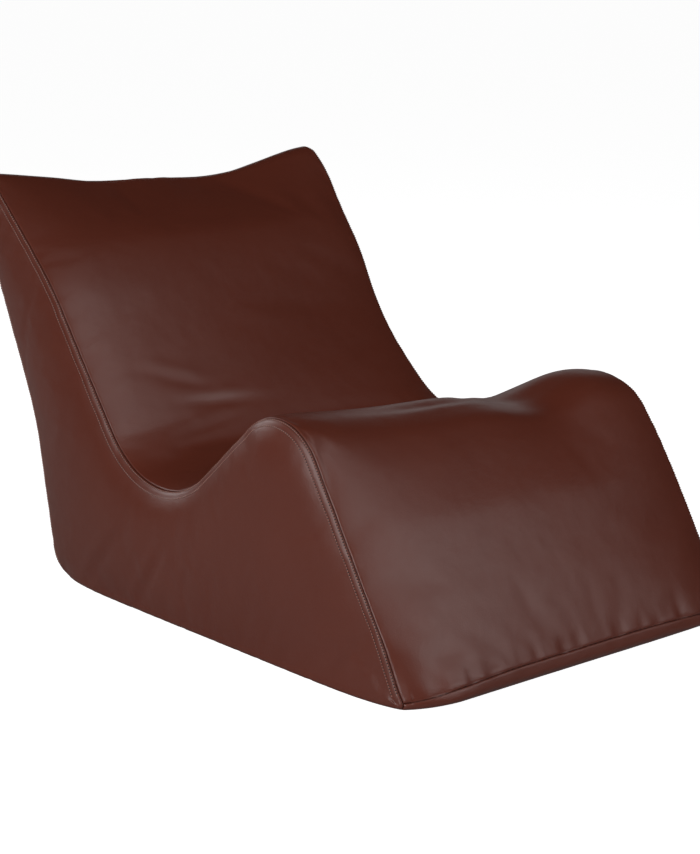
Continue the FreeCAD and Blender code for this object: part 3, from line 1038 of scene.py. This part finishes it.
def thread_ring(centre, first, second, radius):
    """Points round a centre, in the plane of two directions."""
    angles = [2 * math.pi * k / THREAD_SIDES for k in range(THREAD_SIDES)]
    return [centre + (first * math.cos(angle) + second * math.sin(angle)) * radius for angle in angles]


def stitch(place, normal, forward):
    """Points of one stitch, which dips into the leather at both ends."""
    along, across = row_directions(normal, forward)
    half = STITCH_LENGTH / 2
    points = [place - along * half + normal * STITCH_END]
    for share, thick, height in STITCH_SHAPE:
        centre = place + along * half * share + normal * height
        points += thread_ring(centre, across, normal, THREAD_RADIUS * thick)
    points.append(place + along * half + normal * STITCH_END)
    return points


def stitch_faces(first):
    """Faces of one stitch whose first point has that number."""
    faces = []
    last_ring = first + 1 + (len(STITCH_SHAPE) - 1) * THREAD_SIDES
    for k in range(THREAD_SIDES):
        after = (k + 1) % THREAD_SIDES
        faces.append([first, first + 1 + after, first + 1 + k])
        for a in range(first + 1, last_ring, THREAD_SIDES):
            b = a + THREAD_SIDES
            faces.append([a + k, a + after, b + after, b + k])
        faces.append([last_ring + k, last_ring + after, last_ring + THREAD_SIDES])
    return faces


def painted_needle_shade(place, normal, forward):
    """Points of the near-black piece of painted shade in the needle hole behind a stitch: a ring, then its
    two low tips.
    """
    along, across = row_directions(normal, forward)
    centre = place - along * STITCH_PITCH / 2
    ring = thread_ring(centre, along, across, HOLE_RADIUS)
    return ring + [centre + normal * HOLE_RISE, centre - normal * HOLE_RADIUS]


def hole_faces(first):
    """Faces of one needle hole's painted-shade piece whose first point has that number."""
    top, bottom = first + THREAD_SIDES, first + THREAD_SIDES + 1
    faces = []
    for k in range(THREAD_SIDES):
        after = (k + 1) % THREAD_SIDES
        faces.append([first + k, first + after, top])
        faces.append([first + after, first + k, bottom])
    return faces


def surface_tree(pieces):
    """A search tree of the pieces' surfaces."""
    points, faces = [], []
    for piece in pieces:
        faces += [[len(points) + v for v in p.vertices] for p in piece.data.polygons]
        points += [v.co for v in piece.data.vertices]
    return BVHTree.FromPolygons(points, faces)


def stitch_piece(name, lines, pieces):
    """Rows of stitches along closed lines, laid on the pieces."""
    tree = surface_tree(pieces)
    points, faces, painted_hole_shade = [], [], []
    for line in lines:
        middles = even_points(line, STITCH_PITCH)
        forwards = np.roll(middles, -1, axis=0) - np.roll(middles, 1, axis=0)
        for middle, forward in zip(middles, forwards):
            place, normal, _, _ = tree.find_nearest(Vector(middle))
            if place.z > STITCH_LOWEST:
                faces += stitch_faces(len(points))
                points += stitch(place, normal, Vector(forward))
                painted_hole_shade += [0.0] * (len(points) - len(painted_hole_shade))
                # painted shade: each needle hole gets a near-black piece, marked 1 for the thread colour
                faces += hole_faces(len(points))
                points += painted_needle_shade(place, normal, Vector(forward))
                painted_hole_shade += [1.0] * (len(points) - len(painted_hole_shade))
    mesh = modified(points, faces)
    store(mesh, "painted_needle_shade", painted_hole_shade)
    return finished(name, mesh, thread)


for side in ("right", "left"):
    rows = [shell.points[shell.ring_ids("side_" + side, ring)] for ring in STITCH_RINGS]
    piece = stitch_piece("thread_" + side, rows, [leathers["side_" + side]])
    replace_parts(piece, "topstitching_" + side)

zip_lines = [shell.line(shell.row_of["slot_low"] - 1, SLOT_REACH + ZIP_STITCH_PAST)]
zip_lines.append(shell.line(shell.row_of["slot_high"] + 1, SLOT_REACH + ZIP_STITCH_PAST)[::-1])
stitch_piece("thread_zip", [np.concatenate(zip_lines)], [leathers["back_lower"], leathers["back_upper"]])


# ---- camera, floor and light --------------------------------------------------------------------
CAMERA_AZIMUTH = math.radians(-40.6)
CAMERA_ELEVATION = math.radians(13.4)
CAMERA_PLACE = (-2.397, -2.838, 1.152)
LENS = 94.3
SENSOR = 36.0
FLOOR_HALF = 30.0
LIT = (0, 0, 0.3)  # the softboxes are turned to this point
# Softboxes: place, width and height, power in watts.
SOFTBOXES = {
    "left_box": ((-2.9, -1.0, 1.4), (1.8, 1.8), 60),
    "front_box": ((1.0, -2.8, 1.7), (2.4, 1.2), 26),
    "high_box": ((0.4, -1.6, 3.0), (1.2, 1.2), 15),
    "rim_box": ((2.2, 2.6, 1.0), (2.4, 1.0), 4),
    "back_box": ((-1.2, 3.0, 1.8), (1.6, 1.6), 30),
}
WORLD_LIGHT = 0.01  # on the object
WORLD_SEEN = 1.0  # by the camera
FLOOR_LIFT = 0.97  # what the camera sees of the floor beyond the light that falls on it


def turn(obj, way):
    """Turns a camera or a lamp to face that way."""
    obj.rotation_mode = "QUATERNION"
    obj.rotation_quaternion = way.to_track_quat("-Z", "Y")


def add_camera():
    data = bpy.data.cameras.new("camera")
    data.lens = LENS
    data.sensor_width = SENSOR
    camera = in_scene("camera", data)
    camera.location = CAMERA_PLACE
    back = Vector((
        math.sin(CAMERA_AZIMUTH) * math.cos(CAMERA_ELEVATION),
        -math.cos(CAMERA_AZIMUTH) * math.cos(CAMERA_ELEVATION),
        math.sin(CAMERA_ELEVATION),
    ))
    turn(camera, -back)
    bpy.context.scene.camera = camera


def add_softbox(name, location, size, power):
    data = bpy.data.lights.new(name, "AREA")
    data.shape = "RECTANGLE"
    data.size, data.size_y = size
    data.energy = power
    lamp = in_scene(name, data)
    lamp.location = location
    turn(lamp, Vector(LIT) - Vector(location))


def seen_only(tree, low, high):
    """A number that is high for what the camera sees at once, and low for what lights the scene."""
    path = tree.nodes.new("ShaderNodeLightPath")
    number = tree.nodes.new("ShaderNodeMapRange")
    number.inputs["To Min"].default_value = low
    number.inputs["To Max"].default_value = high
    tree.links.new(path.outputs["Is Camera Ray"], number.inputs["Value"])
    return number.outputs["Result"]


def add_stage():
    """A floor that looks white and has no edge in sight, and a studio round it."""
    corners = [(x * FLOOR_HALF, y * FLOOR_HALF, 0) for x, y in ((-1, -1), (1, -1), (1, 1), (-1, 1))]
    floor = new_object("floor", corners, [[0, 1, 2, 3]])
    finish = Finish("pale_floor", 0.9, specular=0.1)
    finish.colour(finish.noise(0.8, 3.0), (0.46, 0.46, 0.46), (0.50, 0.50, 0.50))
    finish.shader.inputs["Emission Color"].default_value = (1, 1, 1, 1)
    lift = seen_only(finish.tree, 0.0, FLOOR_LIFT)
    finish.tree.links.new(lift, finish.shader.inputs["Emission Strength"])
    floor.data.materials.append(finish.material)
    world = bpy.data.worlds.new("studio")
    bpy.context.scene.world = world
    world.use_nodes = True
    background = world.node_tree.nodes["Background"]
    background.inputs["Color"].default_value = (1, 1, 1, 1)
    light = seen_only(world.node_tree, WORLD_LIGHT, WORLD_SEEN)
    world.node_tree.links.new(light, background.inputs["Strength"])
    for name, settings in SOFTBOXES.items():
        add_softbox(name, *settings)


add_camera()
add_stage()
bpy.context.scene.view_settings.view_transform = "Standard"
